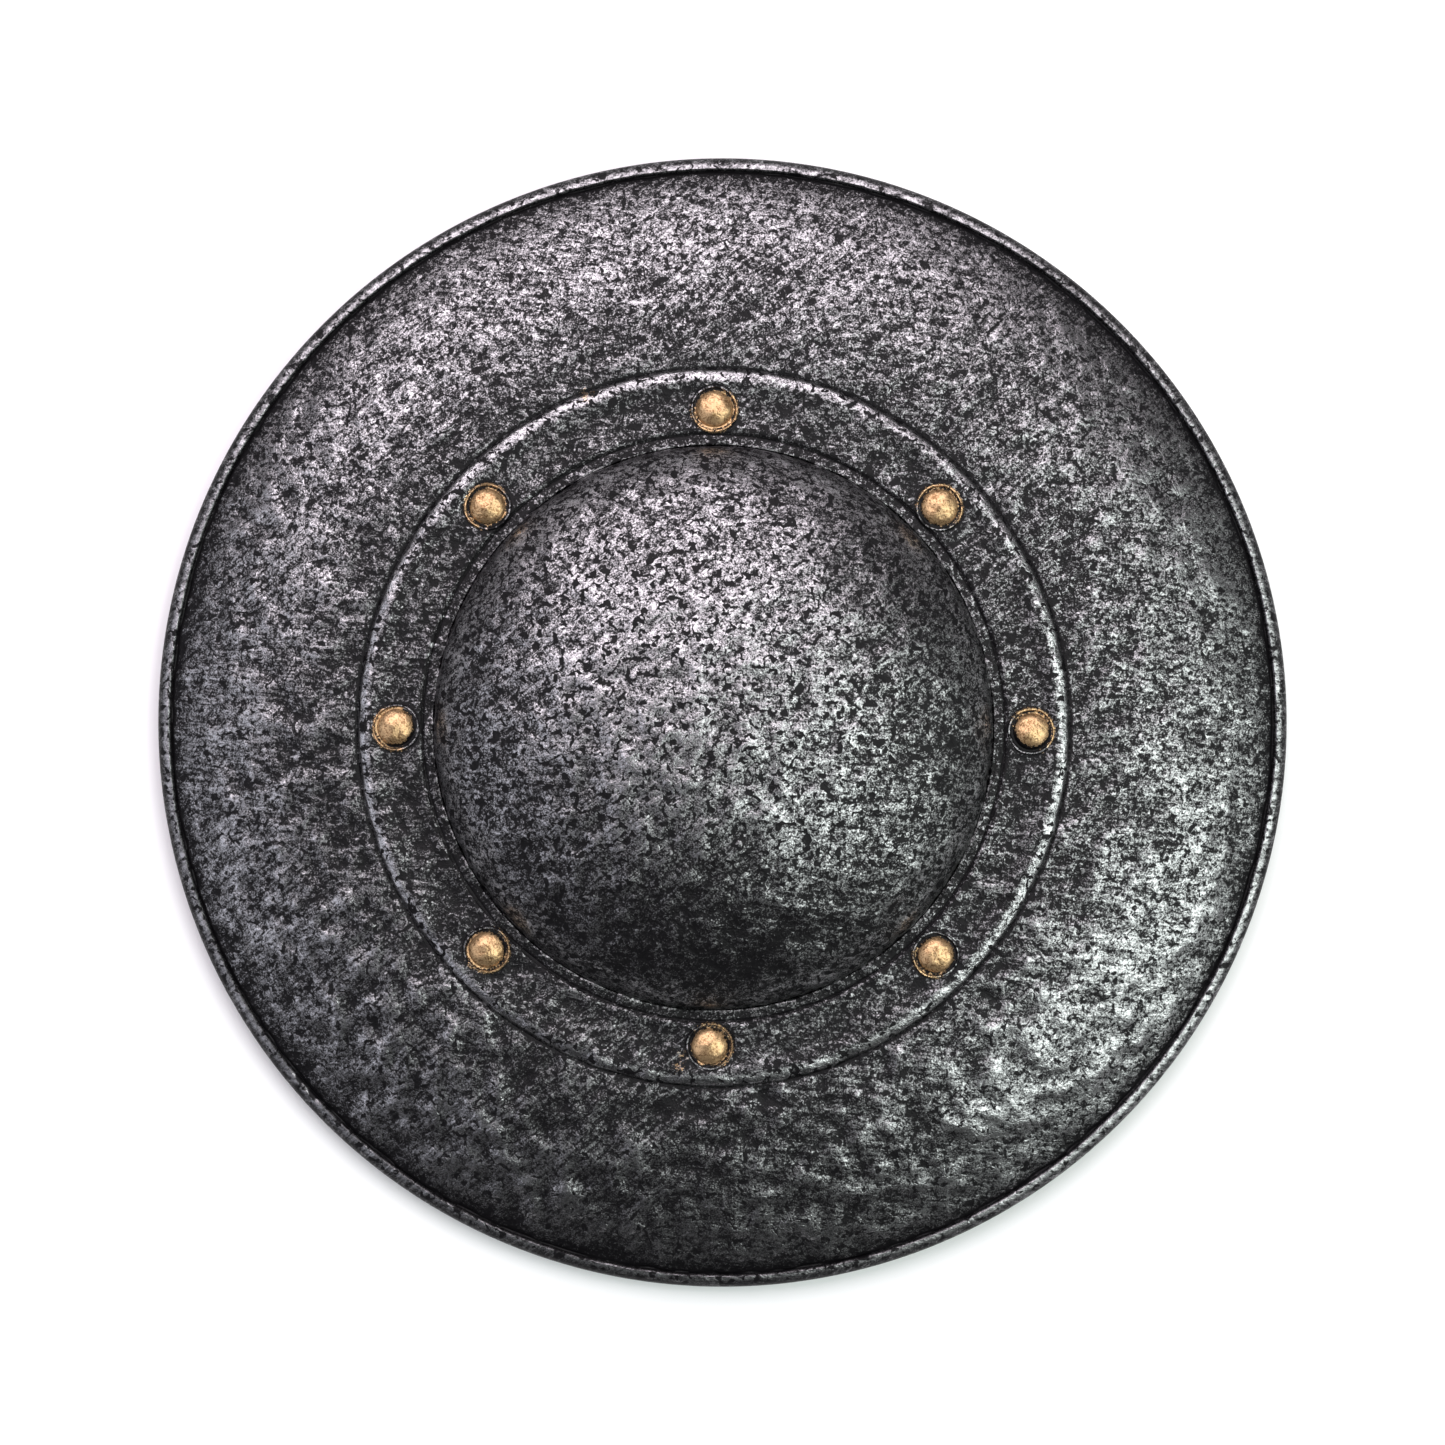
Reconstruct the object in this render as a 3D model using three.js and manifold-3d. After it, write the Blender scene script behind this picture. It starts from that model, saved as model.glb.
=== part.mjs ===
// A moulded foam buckler: a round hand shield with a domed boss, a lip, a raised
// ring with eight stud heads cast in it, a wide sloping brim and a beaded rim.
// A strap grip crosses the hollow at the back and is held by four rivets.
// Millimetres, +Z up. The shield lies on its rim with its face up. The origin is
// on the rim's axis, on the plane that the rim rests on.

import * as THREE from "three";
import { mergeVertices } from "three/addons/utils/BufferGeometryUtils.js";
import Module from "manifold-3d";

// Rim: a bead that stands a little proud of the brim
const SHIELD_DIAMETER = 360;
const RIM_HEIGHT = 12;
const RIM_BAND = 4.6; // width of the bead's front, from the seam to the edge
const RIM_STEP = 1.6; // height of the bead above the brim beside it
const RIM_EASE = 0.8; // width of the bead's inner slope
const RIM_ROUNDING = 4; // height of the round from the crown to the side
const RIM_FOOT_ROUNDING = 2.6; // round from the side to the sole
const RIM_SOLE = 5.5; // width of the flat underside that the shield rests on

// Brim and wall
const BRIM_RISE = 15.6; // from the rim's seam up to the ring's foot
const BRIM_CURVE = 2.4; // power of the brim's fall: flat at the ring, steep at the rim
const WALL = 9; // thickness of the moulding, measured upright

// Boss, and the hollow for the fist behind it
const BOSS_RADIUS = 87;
const BOSS_HEIGHT = 31.5; // above the seam at its foot
const HOLLOW_MARGIN = 9; // by which the hollow is narrower than the boss
const HOLLOW_DEPTH = 32.6; // from the back's flat land up to the hollow's top
const HOLLOW_EASE = 2; // slope round the mouth of the hollow

// Lip: a narrow strip between the boss and the ring, with a seam on each side
const LIP_WIDTH = 3;
const LIP_HEIGHT = 2.2; // above the brim
const LIP_SEAM = 0.7; // width of each seam
const LIP_SEAM_DEPTH = 1.1; // below the top of the lip

// Ring: a shallow dish with a raised and bevelled outer edge
const RING_WIDTH = 20.1; // from its inner edge to its foot
const RING_BEVEL = 3.4; // width of the outer bevel
const RING_EDGE_HEIGHT = 2.8; // above the brim
const RING_DISH = 0.6; // depth of the dish below the edges

// The master for the mould was made by hand: boss, lip, ring and studs sit a
// little off the rim's centre
const CENTRE_X = -2.8;
const CENTRE_Y = -1.6;

// Stud heads, cast in one with the ring
const STUD_COUNT = 8;
const STUD_INSET = 7.9; // from the ring's inner edge to the studs' centres
const STUD_RADIUS = 5.9;
const STUD_DOME = 3.3;
const STUD_MOAT = 0.6; // width of the groove between dome and collar
const STUD_COLLAR = 0.9; // width of the collar
const STUD_COLLAR_HEIGHT = 0.8; // above the floor of the dish
const STUD_ROOT = 1.6; // how far a stud reaches down into the ring

// Grip: a strap that is bound into a firm roll in the middle
const STRAP_WIDTH = 28;
const STRAP_THICKNESS = 4;
const STRAP_SEAT = 27; // length of strap that lies on the back at each end
const STRAP_CORNER = 6;
const ROLL_LENGTH = 124;
const ROLL_WIDTH = 32;
const ROLL_THICKNESS = 20;
const ROLL_DROP = 1.2; // the roll's axis lies this far below the strap's middle

// Rivets that hold the strap
const RIVET_INSET = 7; // from the strap's long edges
const RIVET_HEAD_RADIUS = 4.5;
const RIVET_HEAD_HEIGHT = 2;
const RIVET_SHANK_RADIUS = 2;
const RIVET_COVER = 3.5; // wall left in front of a rivet's hole
const CLEARANCE = 0.3; // between pieces that touch

// Facets round a full turn
const SHIELD_FACETS = 60;
const STUD_FACETS = 14;
const RIVET_FACETS = 12;
const ROLL_FACETS = 14;

// Heights above the plane that the rim rests on
const brimHeight = RIM_HEIGHT - RIM_STEP + BRIM_RISE;
const landHeight = brimHeight - WALL;
const lipTop = brimHeight + LIP_HEIGHT;
const bossFoot = lipTop - LIP_SEAM_DEPTH;
const ringEdgeTop = brimHeight + RING_EDGE_HEIGHT;
const ringFloor = ringEdgeTop - RING_DISH;
const strapTop = landHeight - CLEARANCE;
const strapBottom = strapTop - STRAP_THICKNESS;

// Radii about the rim's axis, then about the boss's own axis
const rimRadius = SHIELD_DIAMETER / 2;
const seamRadius = rimRadius - RIM_BAND;
const soleRadius = rimRadius - RIM_FOOT_ROUNDING - RIM_SOLE;
const hollowRadius = BOSS_RADIUS - HOLLOW_MARGIN;
const lipInner = BOSS_RADIUS + LIP_SEAM;
const lipOuter = lipInner + LIP_WIDTH;
const ringInner = lipOuter + LIP_SEAM;
const ringFoot = ringInner + RING_WIDTH;
const ringEdge = ringFoot - RING_BEVEL;
const studCircle = ringInner + STUD_INSET;
const strapReach = hollowRadius + STRAP_SEAT;

const wasm = await Module();
wasm.setup();

/** Points on an elliptical arc, from one angle to another in degrees. */
function arc(centreR, centreZ, radiusR, radiusZ, from, to, steps) {
  return Array.from({ length: steps + 1 }, (_, i) => {
    const angle = THREE.MathUtils.degToRad(from + ((to - from) * i) / steps);
    return new THREE.Vector2(
      centreR + radiusR * Math.cos(angle),
      centreZ + radiusZ * Math.sin(angle),
    );
  });
}

/** A profile point: radius, then height. */
const at = (radius, height) => new THREE.Vector2(radius, height);

/** A closed geometry as a solid that can be cut and joined. */
function solid(geometry) {
  const bare = geometry.clone();
  bare.deleteAttribute("normal");
  bare.deleteAttribute("uv");
  const merged = mergeVertices(bare, 1e-4);
  const corners = merged.index.array;
  const kept = [];
  for (let i = 0; i < corners.length; i += 3) {
    const [a, b, c] = corners.slice(i, i + 3);
    if (a !== b && b !== c && c !== a) kept.push(a, b, c);
  }
  return new wasm.Manifold(
    new wasm.Mesh({
      numProp: 3,
      vertProperties: merged.attributes.position.array,
      triVerts: new Uint32Array(kept),
    }),
  );
}

/** A solid as a flat-shaded geometry. */
function geometryOf(made) {
  const mesh = made.getMesh();
  const geometry = new THREE.BufferGeometry();
  geometry.setAttribute(
    "position",
    new THREE.BufferAttribute(mesh.vertProperties, 3),
  );
  geometry.setIndex(new THREE.BufferAttribute(mesh.triVerts, 1));
  const flat = geometry.toNonIndexed();
  flat.computeVertexNormals();
  return flat;
}

/** A profile turned round the Z axis. It runs clockwise, with Z up and the radius to the right. */
function turned(profile, facets) {
  return new THREE.LatheGeometry([...profile].reverse(), facets).rotateX(
    Math.PI / 2,
  );
}

/** Height of the brim's face at a radius from the rim's axis. */
function brimFace(radius) {
  const share = Math.max(0, radius - ringFoot) / (seamRadius - ringFoot);
  return brimHeight - BRIM_RISE * share ** BRIM_CURVE;
}

/** The disc of brim and rim on the rim's axis, without boss and ring. */
function brimSolid() {
  const crown = seamRadius + RIM_EASE;
  const steps = 7;
  const face = [];
  const back = [];
  for (let i = 0; i <= steps; i++) {
    const front = THREE.MathUtils.lerp(ringFoot, seamRadius, i / steps);
    const behind = THREE.MathUtils.lerp(soleRadius, ringFoot, i / steps);
    face.push(at(front, brimFace(front)));
    back.push(at(behind, brimFace(behind) - WALL));
  }
  const profile = [
    at(0, brimHeight),
    ...face,
    ...arc(crown, RIM_HEIGHT - RIM_ROUNDING, rimRadius - crown, RIM_ROUNDING, 90, 0, 4),
    ...arc(
      rimRadius - RIM_FOOT_ROUNDING,
      RIM_FOOT_ROUNDING,
      RIM_FOOT_ROUNDING,
      RIM_FOOT_ROUNDING,
      0,
      -90,
      2,
    ),
    at(soleRadius, 0),
    ...back,
    at(0, landHeight),
  ];
  return solid(turned(profile, SHIELD_FACETS));
}

/** Boss, lip and ring on their own axis. Their root is buried in the brim's disc. */
function centreSolid() {
  const dishWidth = ringEdge - ringInner;
  const bevelFall = 0.25; // share of the bevel that runs on below the brim's face
  const root = brimHeight - WALL / 2;
  const profile = [
    ...arc(0, bossFoot, BOSS_RADIUS, BOSS_HEIGHT, 90, 0, 10),
    at(lipInner, lipTop),
    at(lipOuter, lipTop),
    at((lipOuter + ringInner) / 2, lipTop - LIP_SEAM_DEPTH),
    at(ringInner, ringEdgeTop - RING_DISH / 2),
    at(ringInner + dishWidth * 0.3, ringFloor),
    at(ringInner + dishWidth * 0.75, ringFloor),
    at(ringEdge, ringEdgeTop),
    at(ringFoot + RING_BEVEL * bevelFall, brimHeight - RING_EDGE_HEIGHT * bevelFall),
    at(ringFoot, root),
    at(0, root),
  ];
  return solid(turned(profile, SHIELD_FACETS)).translate([CENTRE_X, CENTRE_Y, 0]);
}

/** The space behind the boss, with an eased mouth. */
function hollowSolid() {
  const spring = landHeight + HOLLOW_EASE;
  const mouth = hollowRadius + HOLLOW_EASE;
  const profile = [
    ...arc(0, spring, hollowRadius, HOLLOW_DEPTH - HOLLOW_EASE, 90, 0, 7),
    at(mouth, landHeight),
    at(mouth, landHeight - WALL),
    at(0, landHeight - WALL),
  ];
  return solid(turned(profile, SHIELD_FACETS)).translate([CENTRE_X, CENTRE_Y, 0]);
}

/** One stud head: a dome in a narrow moat with a collar round it. */
function studSolid(index) {
  const collarInner = STUD_RADIUS + STUD_MOAT;
  const collarOuter = collarInner + STUD_COLLAR;
  const profile = [
    ...arc(0, 0, STUD_RADIUS, STUD_DOME, 90, 0, 4),
    at(collarInner, STUD_COLLAR_HEIGHT),
    at(collarOuter - STUD_COLLAR / 3, STUD_COLLAR_HEIGHT),
    at(collarOuter, -STUD_ROOT),
    at(0, -STUD_ROOT),
  ];
  const angle = (index / STUD_COUNT) * 2 * Math.PI;
  return solid(turned(profile, STUD_FACETS)).translate([
    CENTRE_X + studCircle * Math.cos(angle),
    CENTRE_Y + studCircle * Math.sin(angle),
    ringFloor,
  ]);
}

/** Centres of the four rivets, seen from above. */
function rivetPlaces() {
  const row = hollowRadius + STRAP_SEAT / 2;
  const aside = STRAP_WIDTH / 2 - RIVET_INSET;
  return [-1, 1].flatMap((end) =>
    [-1, 1].map((side) => [CENTRE_X + side * aside, CENTRE_Y + end * row]),
  );
}

/** An upright cylinder between two heights, as a solid. */
function peg([x, y], radius, low, high) {
  const cylinder = new THREE.CylinderGeometry(radius, radius, high - low, RIVET_FACETS);
  cylinder.rotateX(Math.PI / 2).translate(x, y, (low + high) / 2);
  return solid(cylinder);
}

/** The whole moulding in one piece, with a blind hole for each rivet. */
function mouldingGeometry() {
  let body = brimSolid().add(centreSolid()).subtract(hollowSolid());
  for (let i = 0; i < STUD_COUNT; i++) body = body.add(studSolid(i));
  for (const place of rivetPlaces()) {
    const hole = peg(
      place,
      RIVET_SHANK_RADIUS + CLEARANCE,
      landHeight - WALL,
      brimHeight - RIVET_COVER,
    );
    body = body.subtract(hole);
  }
  return geometryOf(body);
}

/** Outline of the strap, seen from above: a long strip with round corners. */
function strapOutline() {
  const inX = STRAP_WIDTH / 2 - STRAP_CORNER;
  const inY = strapReach - STRAP_CORNER;
  const outline = new THREE.Shape();
  outline.absarc(inX, inY, STRAP_CORNER, 0, Math.PI / 2);
  outline.absarc(-inX, inY, STRAP_CORNER, Math.PI / 2, Math.PI);
  outline.absarc(-inX, -inY, STRAP_CORNER, Math.PI, 1.5 * Math.PI);
  outline.absarc(inX, -inY, STRAP_CORNER, 1.5 * Math.PI, 2 * Math.PI);
  return outline;
}

/** Strap and roll in one piece, with a hole for each rivet. */
function gripGeometry() {
  const strap = new THREE.ExtrudeGeometry(strapOutline(), {
    depth: STRAP_THICKNESS,
    bevelEnabled: false,
    curveSegments: 4,
  }).translate(CENTRE_X, CENTRE_Y, strapBottom);

  const steps = 10;
  const fullness = 0.5; // power of the sine: under one gives the roll blunt ends
  const spindle = [at(0, -ROLL_LENGTH / 2)];
  for (let i = 1; i < steps; i++) {
    const angle = (Math.PI * i) / steps;
    const width = ROLL_WIDTH * Math.sin(angle) ** fullness;
    spindle.push(at(width / 2, (-ROLL_LENGTH / 2) * Math.cos(angle)));
  }
  spindle.push(at(0, ROLL_LENGTH / 2));
  const roll = new THREE.LatheGeometry(spindle, ROLL_FACETS)
    .scale(1, 1, ROLL_THICKNESS / ROLL_WIDTH)
    .translate(CENTRE_X, CENTRE_Y, (strapTop + strapBottom) / 2 - ROLL_DROP);

  let grip = solid(strap).add(solid(roll));
  for (const place of rivetPlaces()) {
    const hole = peg(
      place,
      RIVET_SHANK_RADIUS + CLEARANCE,
      strapBottom - STRAP_THICKNESS,
      strapTop + STRAP_THICKNESS,
    );
    grip = grip.subtract(hole);
  }
  return geometryOf(grip);
}

/** A rivet with a low domed head under the strap and its shank up in the back. */
function rivetGeometry() {
  const headTop = strapBottom - CLEARANCE;
  const shankTop = brimHeight - RIVET_COVER - CLEARANCE;
  const profile = [
    at(0, shankTop),
    at(RIVET_SHANK_RADIUS, shankTop),
    at(RIVET_SHANK_RADIUS, headTop),
    ...arc(0, headTop, RIVET_HEAD_RADIUS, RIVET_HEAD_HEIGHT, 0, -90, 3),
  ];
  return turned(profile, RIVET_FACETS);
}

const foamPaint = new THREE.MeshStandardMaterial({
  color: "#3b3b3d",
  roughness: 0.5,
  metalness: 0.4,
});
const gripLeather = new THREE.MeshStandardMaterial({
  color: "#231c18",
  roughness: 0.65,
  metalness: 0,
});
const rivetMetal = new THREE.MeshStandardMaterial({
  color: "#3a3733",
  roughness: 0.45,
  metalness: 0.9,
});

/** A named mesh. */
function piece(name, geometry, material) {
  const mesh = new THREE.Mesh(geometry, material);
  mesh.name = name;
  return mesh;
}

const buckler = new THREE.Group();
buckler.add(piece("shield_body", mouldingGeometry(), foamPaint));
buckler.add(piece("grip", gripGeometry(), gripLeather));
rivetPlaces().forEach(([x, y], i) => {
  const rivet = piece(`grip_rivet_${i + 1}`, rivetGeometry(), rivetMetal);
  rivet.position.set(x, y, 0);
  buckler.add(rivet);
});

export default buckler;
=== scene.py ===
"""A moulded foam buckler, painted to look like hammered iron with brass rivet heads.

The moulding is one piece: a domed boss, a lip, a ring with eight stud heads, a wide
brim and a beaded rim. Behind it a leather-bound grip crosses the hollow for the fist.
Sizes are in millimetres and become metres when a piece is finished.
"""

import logging
import math
from collections.abc import Sequence
from dataclasses import dataclass
from enum import Enum

import bmesh
import bpy
from mathutils import Matrix, Vector, noise


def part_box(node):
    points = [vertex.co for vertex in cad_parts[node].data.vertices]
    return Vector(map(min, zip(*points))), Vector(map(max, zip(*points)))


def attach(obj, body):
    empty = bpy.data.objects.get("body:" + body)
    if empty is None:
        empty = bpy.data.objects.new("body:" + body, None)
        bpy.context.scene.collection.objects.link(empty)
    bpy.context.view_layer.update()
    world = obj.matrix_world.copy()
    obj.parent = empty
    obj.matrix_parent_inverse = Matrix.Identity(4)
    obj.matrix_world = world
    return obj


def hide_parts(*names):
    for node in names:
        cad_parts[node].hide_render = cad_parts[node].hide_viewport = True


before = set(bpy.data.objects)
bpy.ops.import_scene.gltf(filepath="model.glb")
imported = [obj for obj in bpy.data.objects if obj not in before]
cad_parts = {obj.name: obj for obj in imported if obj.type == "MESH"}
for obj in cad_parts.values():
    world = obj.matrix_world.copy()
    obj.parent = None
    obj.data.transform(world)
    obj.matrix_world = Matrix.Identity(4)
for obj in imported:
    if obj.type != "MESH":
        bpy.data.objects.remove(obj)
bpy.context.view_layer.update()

logging.basicConfig(level=logging.INFO, format="%(message)s")
log = logging.getLogger("buckler")

MM = 0.001
# How far in mm the rim stays inside the CAD box, so that nothing on it can pass it.
RIM_SPARE = 0.02

Profile = list[tuple[float, float]]
Place = tuple[float, float]


class Slot(Enum):
    """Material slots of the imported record."""

    SKIN = "painted_foam"
    LEATHER = "grip_leather"
    STEEL = "rivet_steel"


def linear(hex_colour: str) -> tuple[float, float, float, float]:
    """Turns an sRGB hex colour into linear RGBA.

    Args:
        hex_colour: colour such as "#8c8c90".

    Returns:
        Linear red, green, blue and an alpha of 1.
    """
    digits = hex_colour.lstrip("#")
    values = [int(digits[i : i + 2], 16) / 255 for i in (0, 2, 4)]
    r, g, b = (v / 12.92 if v <= 0.04045 else ((v + 0.055) / 1.055) ** 2.4 for v in values)
    return (r, g, b, 1.0)


def smoothstep(low: float, high: float, value: float) -> float:
    """Rises smoothly from 0 at low to 1 at high, or falls where low is the greater.

    Args:
        low: value that gives 0.
        high: value that gives 1.
        value: value to look up.

    Returns:
        The share between 0 and 1.
    """
    share = min(1.0, max(0.0, (value - low) / (high - low)))
    return share * share * (3 - 2 * share)


def arc(centre: Place, radii: Place, start: float, end: float, steps: int) -> Profile:
    """Points on an elliptical arc.

    Args:
        centre: centre of the ellipse.
        radii: half widths along both axes.
        start: first angle in degrees.
        end: last angle in degrees.
        steps: number of chords.

    Returns:
        The points from start to end.
    """
    angles = [math.radians(start + (end - start) * i / steps) for i in range(steps + 1)]
    return [(centre[0] + radii[0] * math.cos(a), centre[1] + radii[1] * math.sin(a)) for a in angles]


def even(points: Profile, spacing: float) -> Profile:
    """Spaces points evenly along a path.

    Args:
        points: corners of the path.
        spacing: wanted distance between neighbours.

    Returns:
        New points from the first to the last, about that far apart.
    """
    lengths = [math.dist(a, b) for a, b in zip(points, points[1:])]
    total = sum(lengths)
    count = max(1, round(total / spacing))
    made: Profile = [points[0]]
    walked, leg = 0.0, 0
    for i in range(1, count):
        target = total * i / count
        while walked + lengths[leg] < target:
            walked += lengths[leg]
            leg += 1
        share = (target - walked) / lengths[leg]
        (x0, y0), (x1, y1) = points[leg], points[leg + 1]
        made.append((x0 + (x1 - x0) * share, y0 + (y1 - y0) * share))
    made.append(points[-1])
    return made


def spin_band(bm: bmesh.types.BMesh, profile: Profile, segments: int) -> list[bmesh.types.BMVert]:
    """Turns a profile round the Z axis into a band of faces.

    One wedge is spun face by face and then copied round, which is much quicker than
    spinning the whole turn.

    Args:
        bm: mesh that takes the band.
        profile: radius and height of each row.
        segments: faces round a full turn, a multiple of 8.

    Returns:
        The band's vertices.
    """
    wedges = 8
    band = bmesh.new()
    row = [band.verts.new((radius, 0, height)) for radius, height in profile]
    edges = [band.edges.new(pair) for pair in zip(row, row[1:])]
    turn = {"cent": (0, 0, 0), "axis": (0, 0, 1)}
    step = 2 * math.pi / wedges
    bmesh.ops.spin(band, geom=row + edges, angle=step, steps=segments // wedges, **turn)
    wedge = list(band.verts) + list(band.edges) + list(band.faces)
    bmesh.ops.spin(
        band, geom=wedge, angle=2 * math.pi - step, steps=wedges - 1, use_duplicate=True, **turn
    )
    bmesh.ops.remove_doubles(band, verts=band.verts, dist=1e-3)
    scratch = bpy.data.meshes.new("band")
    band.to_mesh(scratch)
    band.free()
    before = set(bm.verts)
    bm.from_mesh(scratch)
    bpy.data.meshes.remove(scratch)
    return [v for v in bm.verts if v not in before]


def open_loop(bm: bmesh.types.BMesh, radius: float, height: float) -> list[bmesh.types.BMEdge]:
    """Finds the open edge loop at a radius and height.

    Args:
        bm: mesh to search.
        radius: the loop's distance from the Z axis.
        height: the loop's height.

    Returns:
        The loop's edges.
    """
    near = 1e-3

    def on_loop(vert: bmesh.types.BMVert) -> bool:
        """Tells whether a vertex lies on the loop."""
        return abs(vert.co.z - height) < near and abs(vert.co.xy.length - radius) < near

    return [e for e in bm.edges if e.is_boundary and all(on_loop(v) for v in e.verts)]


def join_bands(bm: bmesh.types.BMesh, one: Place, other: Place) -> None:
    """Closes the gap between two open loops, which may have different counts.

    Args:
        bm: mesh that holds both loops.
        one: radius and height of the first loop.
        other: radius and height of the second loop.
    """
    bmesh.ops.bridge_loops(bm, edges=open_loop(bm, *one) + open_loop(bm, *other))


def finished_object(name: str, bm: bmesh.types.BMesh, crease: float = 40.0) -> bpy.types.Object:
    """Turns a mesh in millimetres into a smooth-shaded object in metres.

    Args:
        name: the object's name.
        bm: mesh, freed here.
        crease: angle in degrees past which an edge stays sharp.

    Returns:
        The linked object.
    """
    bmesh.ops.transform(bm, matrix=Matrix.Scale(MM, 4), verts=bm.verts)
    mesh = bpy.data.meshes.new(name)
    bm.to_mesh(mesh)
    bm.free()
    mesh.shade_smooth()
    mesh.set_sharp_from_angle(angle=math.radians(crease))
    obj = bpy.data.objects.new(name, mesh)
    bpy.context.scene.collection.objects.link(obj)
    return obj


def place_piece(
    obj: bpy.types.Object, material: bpy.types.Material, nodes: Sequence[str]
) -> None:
    """Dresses a piece, ties it to the body and reports it.

    Args:
        obj: the piece.
        material: its finish.
        nodes: CAD nodes that it stands for.
    """
    obj.data.materials.append(material)
    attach(obj, "root")
    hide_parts(*nodes)
    obj.data.calc_loop_triangles()
    log.info("%s: %d triangles", obj.name, len(obj.data.loop_triangles))


def new_material(name: str) -> tuple[bpy.types.Material, bpy.types.Node]:
    """Makes an empty material with a Principled shader.

    Args:
        name: the material's name.

    Returns:
        The material and its shader node.
    """
    material = bpy.data.materials.new(name)
    material.use_nodes = True
    return material, material.node_tree.nodes["Principled BSDF"]


def add(tree: bpy.types.NodeTree, kind: str, inputs: dict | None = None, **settings) -> bpy.types.Node:
    """Adds a node with its settings, values and links.

    Args:
        tree: node tree that takes it.
        kind: the node's type, such as "ShaderNodeMath".
        inputs: input name or index to a value or to the socket that feeds it.
        settings: properties of the node.

    Returns:
        The node.
    """
    node = tree.nodes.new(kind)
    for key, value in settings.items():
        setattr(node, key, value)
    for key, value in (inputs or {}).items():
        if isinstance(value, bpy.types.NodeSocket):
            tree.links.new(value, node.inputs[key])
        else:
            node.inputs[key].default_value = value
    return node


def object_mm(tree: bpy.types.NodeTree) -> bpy.types.NodeSocket:
    """Gives a material its object's coordinates in mm.

    Args:
        tree: node tree of the material.

    Returns:
        Socket that gives the place.
    """
    place = add(tree, "ShaderNodeTexCoord").outputs["Object"]
    return add(tree, "ShaderNodeVectorMath", {0: place, "Scale": 1 / MM}, operation="SCALE").outputs[0]


def mixed(tree: bpy.types.NodeTree, share: object, a: object, b: object) -> bpy.types.NodeSocket:
    """Mixes two colours, each a value or a socket.

    Args:
        tree: node tree of the material.
        share: how much of the second there is.
        a: first colour.
        b: second colour.

    Returns:
        Socket that gives the mixture.
    """
    inputs = {"Factor": share, "A": a, "B": b}
    return add(tree, "ShaderNodeMix", inputs, data_type="RGBA").outputs["Result"]


@dataclass(frozen=True)
class Stop:
    """One stop of a coverage curve: a radius in mm and the paint's bias there."""

    radius: float
    bias: float


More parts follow.
